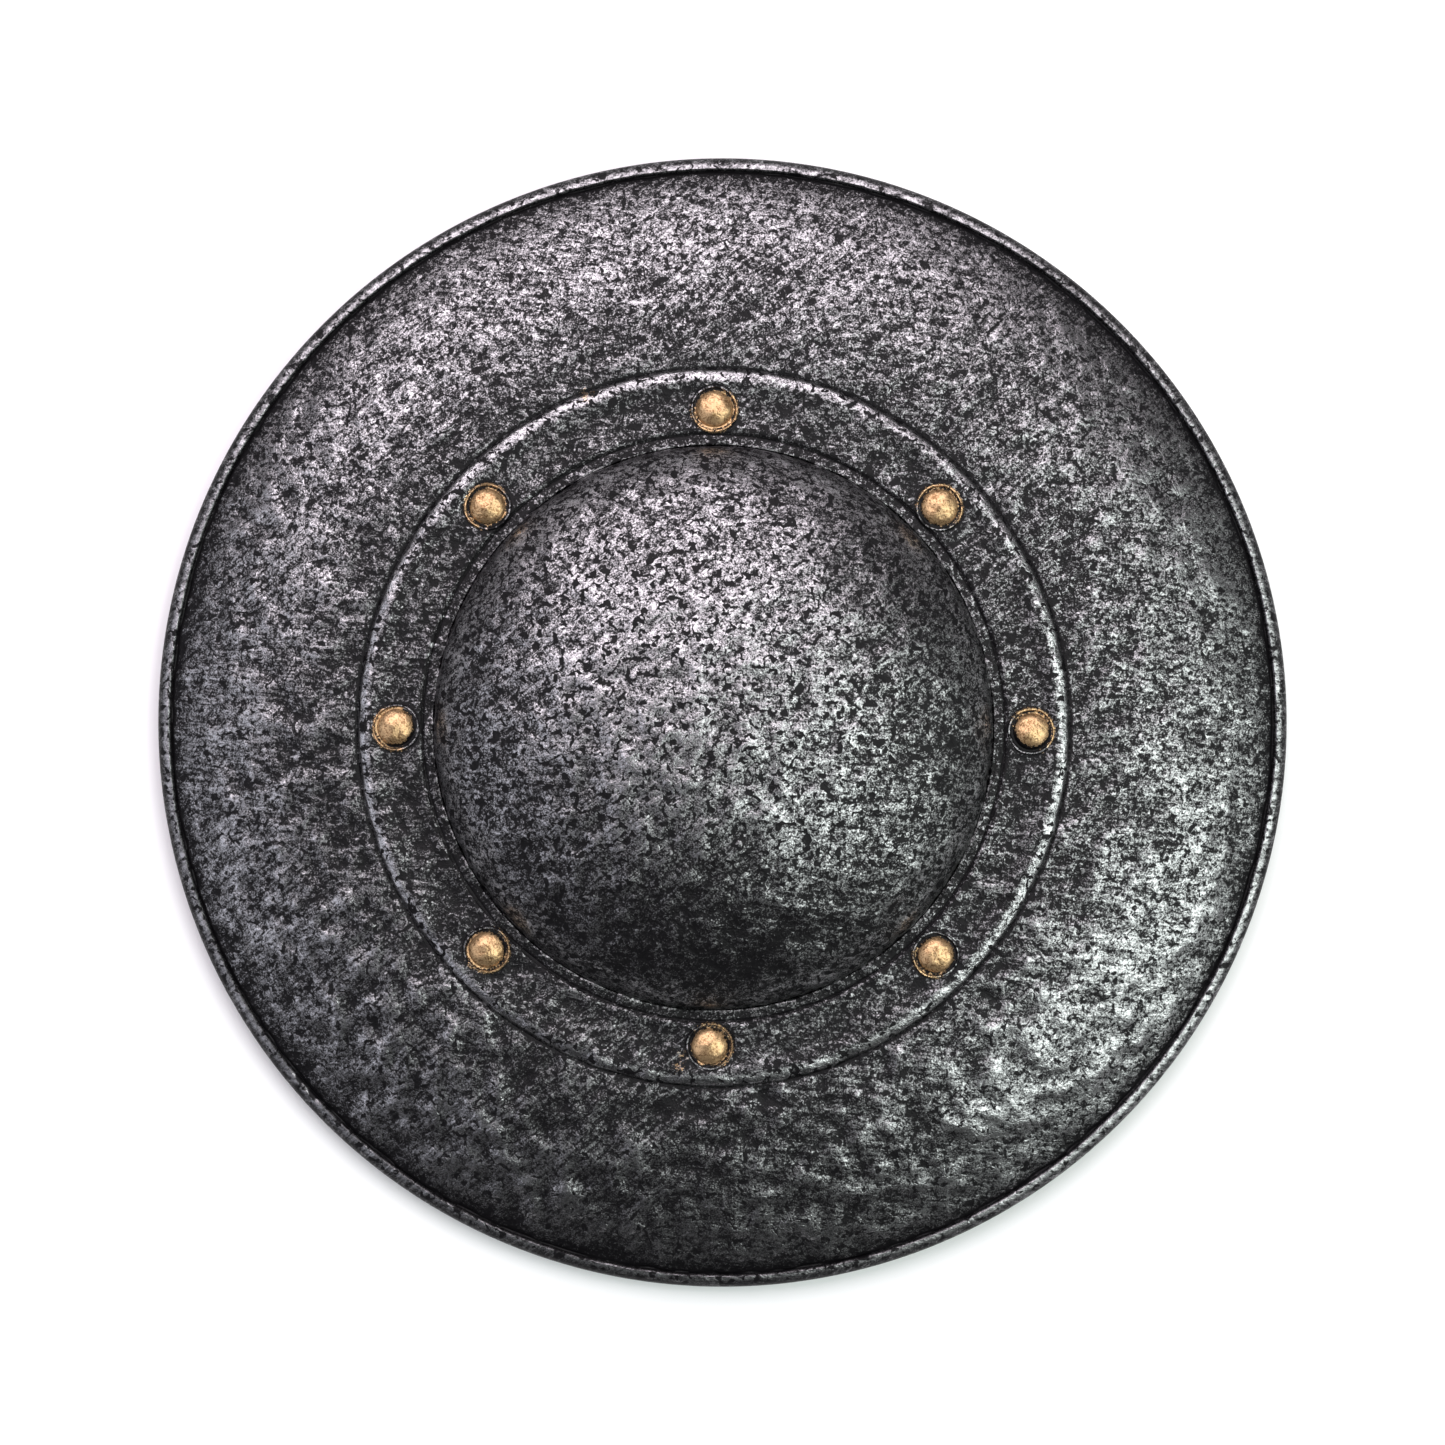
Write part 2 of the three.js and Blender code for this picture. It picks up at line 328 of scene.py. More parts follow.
@dataclass(frozen=True)
class PaintedSkin:
    """Black latex skin, dry-brushed with silver and dabbed with gold.

    The brush rides over the grain, so silver sits on the high spots and leaves pits,
    grooves and the foot of each form black. Gold is laid on thicker and runs ragged.
    Painted light and shade also push the silver: more on the lower right and the boss's
    top and left, less at the bottom, and a painted shadow round each stud's foot.
    """

    latex: str = "#0a090b"
    silver: str = "#b1b0b2"
    gold: str = "#c3a27a"
    gold_thin: str = "#7a5b3c"
    patch_mm: float = 3.6
    fleck_mm: float = 1.25
    grain_mm: float = 0.5
    pit_mm: float = 2.3
    stroke_mm: Place = (7.0, 1.1)
    stroke_angles: tuple[float, float] = (38.0, -6.0)
    sweep_mm: float = 55.0
    bump_mm: float = 0.42
    paint_contrast: float = 1.3
    brush_touches: float = 0.38
    brush_covers: float = 0.67
    # Parts of patches, flecks and grain in the height the brush rides over, and in the bump.
    height_parts: tuple[float, float, float] = (0.26, 0.40, 0.34)
    bump_parts: tuple[float, float, float] = (0.8, 0.26, 0.1)
    pit_edge: Place = (0.44, 0.35)
    pit_depth: float = 0.15
    # How far strokes, pits and relief push the coverage; pits push less on the brim.
    stroke_push: float = 0.30
    pit_push: float = 0.30
    pit_push_eased: float = 0.16
    relief_push: float = 0.08
    # How much calmer the speckle is on the rim and where the brush was dragged.
    rim_calm: float = 0.55
    drag_calm: float = 0.25
    brim_edge: Place = (112.5, 116.0)
    rim_edge: Place = (175.6, 176.2)
    # Gold paint: how ragged its edge runs, where it lies thick, how far its binder dulls
    # the flake, and how far it fills the grain.
    gold_ragged: float = 4.0
    gold_thick: Place = (-0.12, 0.04)
    gold_binder: float = 0.2
    gold_fill: float = 0.3
    # Matte rubber under the paint, and how much smoother silver and gold lie on it.
    skin_rough: float = 0.50
    skin_specular: float = 0.15
    silver_gloss: float = 0.24
    gold_gloss: float = 0.14
    longest_mm: float = 200.0
    boss_curve: tuple[Stop, ...] = (
        Stop(0, 0.50),
        Stop(30, 0.50),
        Stop(60, 0.45),
        Stop(75, 0.44),
        Stop(83, 0.47),
        Stop(87.0, 0.50),
        Stop(88.0, 0.51),
        Stop(88.9, 0.41),
        Stop(91.3, 0.40),
        Stop(91.6, 0.18),
        Stop(91.9, 0.42),
        Stop(104, 0.42),
        Stop(107.8, 0.43),
        Stop(108.8, 0.53),
        Stop(111.9, 0.58),
        Stop(112.3, 0.15),
        Stop(112.7, 0.44),
    )
    brim_curve: tuple[Stop, ...] = (
        Stop(112, 0.43),
        Stop(122, 0.43),
        Stop(135, 0.46),
        Stop(155, 0.48),
        Stop(164, 0.48),
        Stop(170, 0.47),
        Stop(174.2, 0.39),
        Stop(175.3, 0.05),
        Stop(175.8, 0.53),
        Stop(177.6, 0.51),
        Stop(178.6, 0.42),
        Stop(180, 0.40),
    )

    def _curve(
        self, tree: bpy.types.NodeTree, radius: bpy.types.NodeSocket, stops: Sequence[Stop]
    ) -> bpy.types.NodeSocket:
        """Looks a coverage curve up at a radius.

        Args:
            tree: node tree of the material.
            radius: socket that gives the radius in mm.
            stops: the curve.

        Returns:
            Socket that gives the bias.
        """
        share = add(tree, "ShaderNodeMath", {0: radius, 1: self.longest_mm}, operation="DIVIDE")
        ramp = add(tree, "ShaderNodeValToRGB", {"Fac": share.outputs[0]})
        elements = ramp.color_ramp.elements
        elements[0].position = stops[0].radius / self.longest_mm
        elements[1].position = stops[-1].radius / self.longest_mm
        for stop in stops[1:-1]:
            elements.new(stop.radius / self.longest_mm)
        for element, stop in zip(elements, stops):
            element.color = (stop.bias, stop.bias, stop.bias, 1)
        return ramp.outputs["Color"]

    def material(self) -> bpy.types.Material:
        """Builds the node tree.

        Returns:
            The material.
        """
        made, shader = new_material("latex_skin_dry_brushed")
        tree = made.node_tree
        mm = object_mm(tree)

        def field_of(
            size: float, detail: float, rough: float, warp: float = 0.0, place: object = mm
        ) -> bpy.types.NodeSocket:
            """Noise whose blobs are about size mm across."""
            inputs = {"Vector": place, "Scale": 1 / size, "Detail": detail, "Roughness": rough}
            return add(tree, "ShaderNodeTexNoise", {**inputs, "Distortion": warp}).outputs[0]

        def strokes_of(angle: float) -> bpy.types.NodeSocket:
            """Brush strokes that run at an angle in degrees."""
            turned = add(
                tree,
                "ShaderNodeMapping",
                {
                    "Vector": mm,
                    "Rotation": (0, 0, math.radians(angle)),
                    "Scale": (self.stroke_mm[0], self.stroke_mm[1], self.stroke_mm[0]),
                },
                vector_type="TEXTURE",
            ).outputs[0]
            return field_of(1.0, detail=2.0, rough=0.6, warp=0.3, place=turned)

        def math_of(operation: str, a: object, b: object = 0.0, c: object = 0.0) -> bpy.types.NodeSocket:
            """One step of arithmetic on sockets or numbers."""
            return add(tree, "ShaderNodeMath", {0: a, 1: b, 2: c}, operation=operation).outputs[0]

        def step_of(value: bpy.types.NodeSocket, low: float, high: float) -> bpy.types.NodeSocket:
            """Smooth step from 0 at low to 1 at high."""
            return add(
                tree,
                "ShaderNodeMapRange",
                {"Value": value, "From Min": low, "From Max": high},
                interpolation_type="SMOOTHSTEP",
            ).outputs[0]

        def attribute(name: str) -> bpy.types.NodeSocket:
            """One of the mesh's own measures."""
            return add(tree, "ShaderNodeAttribute", attribute_name=name).outputs["Fac"]

        patches = field_of(self.patch_mm, detail=3.0, rough=0.62, warp=1.1)
        flecks = field_of(self.fleck_mm, detail=2.0, rough=0.65, warp=0.9)
        grain = field_of(self.grain_mm, detail=1.0, rough=0.6)
        sweep = step_of(field_of(self.sweep_mm, detail=0.0, rough=0.5), 0.45, 0.55)
        strokes = mixed(tree, sweep, *(strokes_of(angle) for angle in self.stroke_angles))
        pits = step_of(field_of(self.pit_mm, detail=1.5, rough=0.5, warp=0.6), *self.pit_edge)

        def layered(parts: tuple[float, float, float]) -> bpy.types.NodeSocket:
            """Patches, flecks and grain, each by its part."""
            coarse = math_of("MULTIPLY_ADD", patches, parts[0], math_of("MULTIPLY", flecks, parts[1]))
            return math_of("MULTIPLY_ADD", grain, parts[2], coarse)

        ridden = math_of("SUBTRACT", layered(self.height_parts), 0.5)
        skin = math_of("MULTIPLY_ADD", pits, -self.pit_depth, layered(self.bump_parts))

        inner = self._curve(tree, attribute("boss_radius"), self.boss_curve)
        outer = self._curve(tree, attribute("rim_radius"), self.brim_curve)
        on_brim = step_of(attribute("boss_radius"), *self.brim_edge)
        bias = mixed(tree, on_brim, inner, outer)
        bias = math_of("MULTIPLY_ADD", math_of("SUBTRACT", strokes, 0.5), self.stroke_push, bias)
        pitted = math_of("MULTIPLY_ADD", on_brim, self.pit_push_eased, -self.pit_push)
        bias = math_of("MULTIPLY_ADD", pits, pitted, bias)
        # The relief measure also holds the painted side light and shade and the painted shadow round the
        # stud feet.
        relief_and_light_bias = math_of("MULTIPLY_ADD", attribute("relief"), self.relief_push, bias)
        on_rim = step_of(attribute("rim_radius"), *self.rim_edge)
        contrast = math_of("MULTIPLY_ADD", on_rim, -self.rim_calm, self.paint_contrast)
        contrast = math_of("MULTIPLY_ADD", attribute("drag"), -self.drag_calm, contrast)
        level = math_of("MULTIPLY_ADD", ridden, contrast, relief_and_light_bias)
        brushed = step_of(level, self.brush_touches, self.brush_covers)
        silver = math_of("MULTIPLY", brushed, attribute("front"))

        gold_edge = math_of("MULTIPLY_ADD", ridden, self.gold_ragged, attribute("gold"))
        gold = step_of(gold_edge, 0.0, 0.5)
        thick = step_of(ridden, *self.gold_thick)
        gold_tone = mixed(tree, thick, linear(self.gold_thin), linear(self.gold))

        colour = mixed(tree, silver, linear(self.latex), linear(self.silver))
        colour = mixed(tree, gold, colour, gold_tone)
        tree.links.new(colour, shader.inputs["Base Color"])
        flake = step_of(silver, 0.0, 0.15)
        metal = math_of("MULTIPLY_ADD", gold, -self.gold_binder, math_of("MAXIMUM", flake, gold))
        tree.links.new(metal, shader.inputs["Metallic"])
        rough = math_of("MULTIPLY_ADD", silver, -self.silver_gloss, self.skin_rough)
        rough = math_of("MULTIPLY_ADD", gold, -self.gold_gloss, rough)
        tree.links.new(rough, shader.inputs["Roughness"])
        shader.inputs["Specular IOR Level"].default_value = self.skin_specular
        filled = math_of("MULTIPLY_ADD", gold, -self.gold_fill, 1.0)
        inputs = {"Height": skin, "Distance": self.bump_mm * MM, "Strength": filled}
        bump = add(tree, "ShaderNodeBump", inputs)
        tree.links.new(bump.outputs[0], shader.inputs["Normal"])
        return made


@dataclass(frozen=True)
class GripLeather:
    """Vegetable-tanned leather, dyed dark brown and waxed: fine pores and a soft dull sheen."""

    dye: str = "#2b2019"
    worn: str = "#4a382b"
    pore_mm: float = 0.7
    crease_mm: float = 6.0
    roughness: float = 0.58
    bump_mm: float = 0.3
    bump_strength: float = 0.6

    def material(self) -> bpy.types.Material:
        """Builds the node tree.

        Returns:
            The material.
        """
        made, shader = new_material("vegetable_tanned_leather")
        tree = made.node_tree
        mm = object_mm(tree)
        cells = {"Vector": mm, "Scale": 1 / self.pore_mm}
        pores = add(tree, "ShaderNodeTexVoronoi", cells, feature="DISTANCE_TO_EDGE").outputs["Distance"]
        clouds = {"Vector": mm, "Scale": 1 / self.crease_mm, "Detail": 4.0}
        creases = add(tree, "ShaderNodeTexNoise", clouds).outputs[0]
        colour = mixed(tree, creases, linear(self.dye), linear(self.worn))
        tree.links.new(colour, shader.inputs["Base Color"])
        shader.inputs["Roughness"].default_value = self.roughness
        height = add(tree, "ShaderNodeMath", {0: pores, 1: creases}, operation="ADD").outputs[0]
        inputs = {"Height": height, "Distance": self.bump_mm * MM, "Strength": self.bump_strength}
        bump = add(tree, "ShaderNodeBump", inputs)
        tree.links.new(bump.outputs[0], shader.inputs["Normal"])
        return made


@dataclass(frozen=True)
class DarkenedSteel:
    """Pressed steel rivet caps, oil-blackened: a dark satin metal with rubbed crowns."""

    steel: str = "#5a564f"
    oxide: str = "#2c2a27"
    blotch_mm: float = 1.6
    metallic: float = 0.9
    oxide_rough: float = 0.5
    steel_rough: float = 0.32
    bump_mm: float = 0.1
    bump_strength: float = 0.5

    def material(self) -> bpy.types.Material:
        """Builds the node tree.

        Returns:
            The material.
        """
        made, shader = new_material("blackened_steel")
        tree = made.node_tree
        mm = object_mm(tree)
        clouds = {"Vector": mm, "Scale": 1 / self.blotch_mm, "Detail": 3.0}
        blotch = add(tree, "ShaderNodeTexNoise", clouds).outputs[0]
        colour = mixed(tree, blotch, linear(self.oxide), linear(self.steel))
        tree.links.new(colour, shader.inputs["Base Color"])
        shader.inputs["Metallic"].default_value = self.metallic
        span = {"Value": blotch, "To Min": self.oxide_rough, "To Max": self.steel_rough}
        rough = add(tree, "ShaderNodeMapRange", span).outputs[0]
        tree.links.new(rough, shader.inputs["Roughness"])
        inputs = {"Height": blotch, "Distance": self.bump_mm * MM, "Strength": self.bump_strength}
        bump = add(tree, "ShaderNodeBump", inputs)
        tree.links.new(bump.outputs[0], shader.inputs["Normal"])
        return made


@dataclass(frozen=True)
class StudHead:
    """One cast stud head: where it strays to, and how its gold paint was dabbed on.

    The gold covers a round dab with its own centre and radius, and part of the collar:
    all of it where `collar` is 1 and none where it is -1, starting from `collar_turn`.
    """

    turn: float
    stray: Place
    dab_shift: Place
    dab_radius: float
    collar: float
    collar_turn: float


@dataclass
class Moulding:
    """The moulded foam body with its studs: sizes in mm, in the frame of the CAD model."""

    rim_radius: float
    rim_height: float = 12.0
    rim_band: float = 4.6
    rim_step: float = 1.6
    rim_ease: float = 0.8
    rim_rounding: float = 4.0
    foot_rounding: float = 2.6
    sole: float = 5.5
    brim_rise: float = 15.6
    brim_curve: float = 2.4
    wall: float = 9.0
    boss_radius: float = 87.8
    boss_height: float = 31.0
    hollow_margin: float = 9.8
    hollow_depth: float = 32.6
    hollow_ease: float = 2.0
    lip_height: float = 2.2
    lip_outer: float = 91.4
    ring_inner: float = 91.8
    ring_foot: float = 112.1
    ring_bevel: float = 3.8
    ring_edge: float = 2.8
    ring_dish: float = 0.6
    dish_floor: Place = (96.5, 103.5)
    seam_depth: float = 1.1
    crevice_depth: float = 0.7
    centre: Place = (-2.8, -1.6)
    oval: float = 0.0042
    stud_circle: float = 99.3
    stud_radius: float = 5.75
    stud_dome: float = 3.1
    stud_moat: float = 0.75
    stud_collar: float = 0.95
    stud_collar_height: float = 1.0
    stud_wobble: float = 0.35
    # How the silver brush treats a stud's moat and its collar, and the painted shadow round its foot.
    moat_shade: float = -3.0
    collar_shade: float = 0.9
    painted_foot_shadow: float = -1.5
    gold_smudges: tuple[tuple[Place, float], ...] = (
        ((-42.7, 102.5), 3.2),
        ((-14.0, -107.5), 2.6),
        ((-12.5, -104.5), 2.2),
    )
    nicks: tuple[Place, ...] = ((82.3, 175.4), (222.3, 176.2), (220.1, 175.6), (284.7, 175.6))
    nick_radius: float = 1.1
    nick_depth: float = 0.6
    seam_wobble: float = 0.3
    wrinkle_turn: float = 52.0
    wrinkle_reach: float = 7.0
    studs: tuple[StudHead, ...] = (
        StudHead(0, (0.0, -1.2), (0.2, 0.7), 5.4, 0.2, 50),
        StudHead(45, (0.4, -1.4), (0.2, 0.1), 5.9, 0.4, 60),
        StudHead(90, (0.3, 0.3), (0.1, -0.3), 6.2, 0.4, 300),
        StudHead(135, (-0.4, -1.1), (0.1, 0.0), 5.9, 0.4, 150),
        StudHead(180, (0.0, 0.0), (-0.6, 0.6), 6.0, 0.0, 200),
        StudHead(225, (-0.7, 0.8), (-0.4, -0.3), 6.0, 0.2, -45),
        StudHead(270, (-1.2, -0.3), (0.0, -0.2), 5.9, 0.0, 30),
        StudHead(315, (-0.8, -0.7), (0.1, -0.1), 5.7, -0.5, 225),
    )
    outer_segments: int = 512
    boss_segments: int = 384
    back_segments: int = 128
    # Distances between the rows of each band.
    boss_spacing: float = 1.15
    lip_spacing: float = 0.48
    ring_spacing: float = 0.95
    bevel_spacing: float = 0.5
    brim_spacing: float = 1.35
    seam_spacing: float = 0.4
    bead_spacing: float = 0.9
    back_spacing: float = 4.0

    @property
    def seam_radius(self) -> float:
        """Radius at which the rim's bead meets the brim."""
        return self.rim_radius - self.rim_band

    @property
    def sole_radius(self) -> float:
        """Inner radius of the flat underside of the rim."""
        return self.rim_radius - self.foot_rounding - self.sole

    @property
    def brim_height(self) -> float:
        """Height of the brim at the ring's foot."""
        return self.rim_height - self.rim_step + self.brim_rise

    @property
    def land_height(self) -> float:
        """Height of the flat back behind the ring."""
        return self.brim_height - self.wall

    @property
    def boss_foot(self) -> float:
        """Height of the seam round the boss."""
        return self.brim_height + self.lip_height - self.seam_depth

    def face(self, radius: float) -> float:
        """Height of the brim's face at a distance from the rim's axis."""
        share = max(0.0, radius - self.ring_foot) / (self.seam_radius - self.ring_foot)
        return self.brim_height - self.brim_rise * share**self.brim_curve

    def front_height(self, rim_distance: float, boss_distance: float) -> float:
        """Height of the smooth front, boss or brim, at two distances from the axes."""
        if boss_distance >= self.boss_radius:
            return self.face(rim_distance)
        return self.boss_foot + self.boss_height * math.sqrt(1 - (boss_distance / self.boss_radius) ** 2)

    def _boss_bands(self, bm: bmesh.types.BMesh) -> Place:
        """Turns the boss in rings whose counts double outwards.

        Args:
            bm: mesh that takes the boss.

        Returns:
            Radius and height of its open edge.
        """
        dome = arc((0, self.boss_foot), (self.boss_radius, self.boss_height), 90, 0, 90)
        rows = even(dome, self.boss_spacing)
        limits = [0.0, 6.0, 12.0, 24.0, 50.0, self.boss_radius + 1]
        count = self.boss_segments >> (len(limits) - 2)
        last: Place | None = None
        for low, high in zip(limits, limits[1:]):
            band = [row for row in rows if low <= row[0] < high]
            spin_band(bm, band, count)
            if last is not None:
                join_bands(bm, last, band[0])
            last = band[-1]
            count *= 2
        return rows[-1]

    def _front_rows(self) -> Profile:
        """Rows of the front from the lip to the rim's sole."""
        foot = self.brim_height
        edge_top = foot + self.ring_edge
        floor = edge_top - self.ring_dish
        ring_edge = self.ring_foot - self.ring_bevel
        lip = foot + self.lip_height
        crevice = (self.lip_outer + self.ring_inner) / 2
        lip_rows = even(
            [
                (self.boss_radius + 0.35, lip - 0.1),
                (self.boss_radius + 0.8, lip),
                (self.lip_outer - 0.4, lip - 0.25),
                (crevice - 0.1, lip - self.crevice_depth),
                (crevice + 0.1, lip - self.crevice_depth),
                (self.ring_inner, edge_top - 0.5),
                (self.ring_inner + 0.8, edge_top - 0.2),
            ],
            self.lip_spacing,
        )
        dish = [(radius, floor) for radius in self.dish_floor]
        plate = even([lip_rows[-1], *dish, (ring_edge - 0.6, edge_top)], self.ring_spacing)
        bevel = even(
            [
                plate[-1],
                (ring_edge + 1.2, edge_top - 0.2),
                (ring_edge + 2.9, edge_top - 1.0),
                (self.ring_foot - 0.3, foot + 0.3),
                (self.ring_foot + 0.15, foot - 0.2),
                (self.ring_foot + 0.6, foot),
            ],
            self.bevel_spacing,
        )
        brim_start, brim_end = self.ring_foot + 0.6, self.seam_radius - 0.8
        steps = 60
        brim = [brim_start + (brim_end - brim_start) * i / steps for i in range(steps + 1)]
        face = even([(r, self.face(r)) for r in brim], self.brim_spacing)
        crown = self.seam_radius + self.rim_ease
        seam = even(
            [
                face[-1],
                (self.seam_radius - 0.3, self.face(self.seam_radius) - 0.1),
                (self.seam_radius, self.face(self.seam_radius) - 0.25),
                (self.seam_radius + 0.2, self.rim_height - 0.9),
                (self.seam_radius + 0.45, self.rim_height - 0.25),
                (crown, self.rim_height),
            ],
            self.seam_spacing,
        )
        bead_centre = (crown, self.rim_height - self.rim_rounding)
        bead = arc(bead_centre, (self.rim_radius - crown, self.rim_rounding), 90, 0, 24)
        foot_centre = (self.rim_radius - self.foot_rounding, self.foot_rounding)
        side = arc(foot_centre, (self.foot_rounding, self.foot_rounding), 0, -90, 6)
        outside = even([*bead, *side], self.bead_spacing)
        return [*lip_rows, *plate[1:], *bevel[1:], *face[1:], *seam[1:], *outside[1:]]

    def _back_rows(self) -> Profile:
        """Rows of the back from the rim's sole to the top of the hollow."""
        steps = 24
        span = self.ring_foot - self.sole_radius
        curve = [self.sole_radius + span * i / steps for i in range(steps + 1)]
        back = even([(r, self.face(r) - self.wall) for r in curve], self.back_spacing)
        hollow = self.boss_radius - self.hollow_margin
        mouth = hollow + self.hollow_ease
        dome_centre = (0, self.land_height + self.hollow_ease)
        dome = arc(dome_centre, (hollow, self.hollow_depth - self.hollow_ease), 0, 90, 40)
        land = even([back[-1], (mouth, self.land_height)], self.back_spacing)
        ease = [(mouth - 0.4, self.land_height + 0.3), (hollow + 0.3, self.land_height + 1.2)]
        hollow_rows = even(dome, self.back_spacing)
        return [(self.sole_radius, 0.0), *back, *land[1:], *ease, *hollow_rows]

    def _shift(self, verts: Sequence[bmesh.types.BMVert], near: float, far: float, on_face: bool) -> None:
        """Moves the middle of a band off the rim's axis and out of round, as the mould has it.

        Args:
            verts: vertices of the band.
            near: radius up to which the whole offset counts.
            far: radius from which there is none.
            on_face: whether the height follows the brim's face.
        """
        for vert in verts:
            radius = vert.co.xy.length
            weight = 1 - smoothstep(near, far, radius)
            vert.co.x += (self.centre[0] - self.oval * vert.co.x) * weight
            vert.co.y += (self.centre[1] + self.oval * vert.co.y) * weight
            if on_face and radius > self.ring_foot:
                vert.co.z += (self.face(vert.co.xy.length) - self.face(radius)) * min(1.0, weight * 8)

    def _stud_mesh(self) -> bmesh.types.BMesh:
        """Turns the eight stud heads, each a dome in a moat with a collar."""
        bm = bmesh.new()
        inner = self.stud_radius + self.stud_moat
        outer = inner + self.stud_collar
        top = self.stud_collar_height
        dome = arc((0, 0), (self.stud_radius, self.stud_dome), 90, 0, 12)
        profile = [
            (0.0, -1.8),
            (outer + 0.15, -1.8),
            (outer + 0.1, 0.0),
            (outer - 0.05, top * 0.7),
            (outer - 0.3, top),
            (inner + 0.3, top),
            (inner + 0.05, top * 0.6),
            (inner - 0.15, -0.1),
            (self.stud_radius + 0.15, -0.25),
            *reversed(dome),
        ]
        floor = self.brim_height + self.ring_edge - self.ring_dish
        for number, stud in enumerate(self.studs):
            verts = spin_band(bm, profile, 56)
            for vert in verts:
                cast = vert.co / outer + Vector((0, 0, 5 * number))
                swell = 1 + self.stud_wobble * noise.noise(cast) / self.stud_radius
                vert.co.xy *= swell
                if vert.co.z > 0:
                    vert.co.z *= 1 + 0.12 * noise.noise(cast * 2.5)
            x, y = self.stud_place(stud)
            bmesh.ops.translate(bm, verts=verts, vec=(x, y, floor))
        bmesh.ops.recalc_face_normals(bm, faces=bm.faces)
        return bm

    def gold_depth(self, stud: StudHead, offset: Vector) -> float:
        """Tells how far inside its gold paint a place on a stud is, in mm.

        Args:
            stud: the stud head.
            offset: the place, from the stud's centre.

        Returns:
            The depth, negative where there is no gold.
        """
        dab = stud.dab_radius - (offset - Vector(stud.dab_shift)).length
        crest = self.stud_radius + self.stud_moat + self.stud_collar / 2
        on_collar = 0.6 * self.stud_collar - abs(offset.length - crest)
        side = math.cos(math.atan2(offset.y, offset.x) - math.radians(stud.collar_turn))
        return max(dab, min(1.1 * on_collar, stud.collar + side))

    def stud_paint_and_shadow(self, distance: float) -> float:
        """Tells where the silver brush catches a stud's collar and misses its moat, and where a shadow is
        painted round its foot.

        Args:
            distance: from the stud's centre, in mm.

        Returns:
            A push on the coverage: above 0 for more silver, below 0 for bare black.
        """
        inner = self.stud_radius + self.stud_moat
        outer = inner + self.stud_collar
        if distance < inner:
            return self.moat_shade
        if distance < outer:
            return self.collar_shade
        # Painted shadow: a dark ring on the ring plate round the collar's foot.
        return self.painted_foot_shadow * smoothstep(outer + 1.0, outer, distance)

    def stud_place(self, stud: StudHead) -> Place:
        """Centre of a stud head in the shield's frame."""
        turn = math.radians(stud.turn)
        return (
            self.centre[0] + self.stud_circle * math.cos(turn) + stud.stray[0],
            self.centre[1] + self.stud_circle * math.sin(turn) + stud.stray[1],
        )

    def smudge_depth(self, flat: Vector) -> float:
        """Tells how near the gold's stray smudges a place is, in mm.

        Args:
            flat: the place, seen from above.

        Returns:
            A depth below 0, at which only flecks of gold show.
        """
        return max(
            0.2 - 0.5 * (flat - Vector(place)).length / radius for place, radius in self.gold_smudges
        )

    def nick(self, flat: Vector) -> float:
        """Share from 0 to 1 of a nick in the rim's coating at a place seen from above."""
        places = [
            Vector((math.cos(math.radians(turn)), math.sin(math.radians(turn)))) * radius
            for turn, radius in self.nicks
        ]
        return smoothstep(self.nick_radius, 0.3, min((flat - place).length for place in places))

    def seam_stray(self, point: Vector, rim_distance: float) -> float:
        """How far the rim's inner edge strays sideways, in mm.

        Args:
            point: place in mm.
            rim_distance: distance from the rim's axis.

        Returns:
            The shift away from the axis.
        """
        near = smoothstep(2.2, 0.2, abs(rim_distance - self.seam_radius - 0.2))
        if near == 0:
            return 0.0
        turn = math.degrees(math.atan2(point.y, point.x))
        wrinkled = smoothstep(self.wrinkle_reach, 0.0, abs(turn - self.wrinkle_turn))
        slow = noise.noise(point / 14) * 0.6 + noise.noise(point / 5) * 0.4
        return near * self.seam_wobble * (slow + 1.2 * wrinkled * noise.noise(point / 2.6))

    def drag(self, point: Vector, boss_distance: float) -> float:
        """Tells how much of the brushing was a long even drag, which leaves less speckle.

        Args:
            point: place in mm.
            boss_distance: distance from the boss's axis.

        Returns:
            The share, most at the photo's bottom.
        """
        low = smoothstep(70, -110, point.y + 0.35 * point.x)
        on_ring = smoothstep(self.lip_outer - 4, self.lip_outer, boss_distance) * smoothstep(
            self.ring_foot + 8, self.ring_foot, boss_distance
        )
        on_boss = smoothstep(self.boss_radius, self.boss_radius - 10, boss_distance)
        return low * (1 - 0.6 * on_boss) * (1 - 0.2 * on_ring) + 0.25 * on_ring

    def painted_side_light(self, point: Vector, boss_distance: float) -> float:
        """Painted light and shade: more silver on the lower right and on the boss's top and left,
        less at the bottom, standing in for how the lights fall.

        Args:
            point: place in mm.
            boss_distance: distance from the boss's axis.

        Returns:
            A push on the coverage: above 0 for more silver.
        """
        centred = point.xy - Vector(self.centre)
        on_boss = smoothstep(self.boss_radius, self.boss_radius - 12, boss_distance)
        on_brim = smoothstep(self.ring_foot, self.ring_foot + 8, boss_distance)
        turn = math.degrees(math.atan2(centred.y, centred.x))
        # Painted light on the lower right and painted shade at the bottom.
        lit_lower_right = 0.5 * smoothstep(40, 0, abs(turn + 40))
        shaded_bottom = 0.4 * smoothstep(38, 0, abs(turn + 94))
        side_light_push = (lit_lower_right - shaded_bottom) * max(on_brim, on_boss * min(1.0, boss_distance / 40))
        # Painted light on the boss's top and left, painted shade on its bottom and right.
        return side_light_push + on_boss * (0.5 * centred.y - 0.3 * centred.x) / self.boss_radius

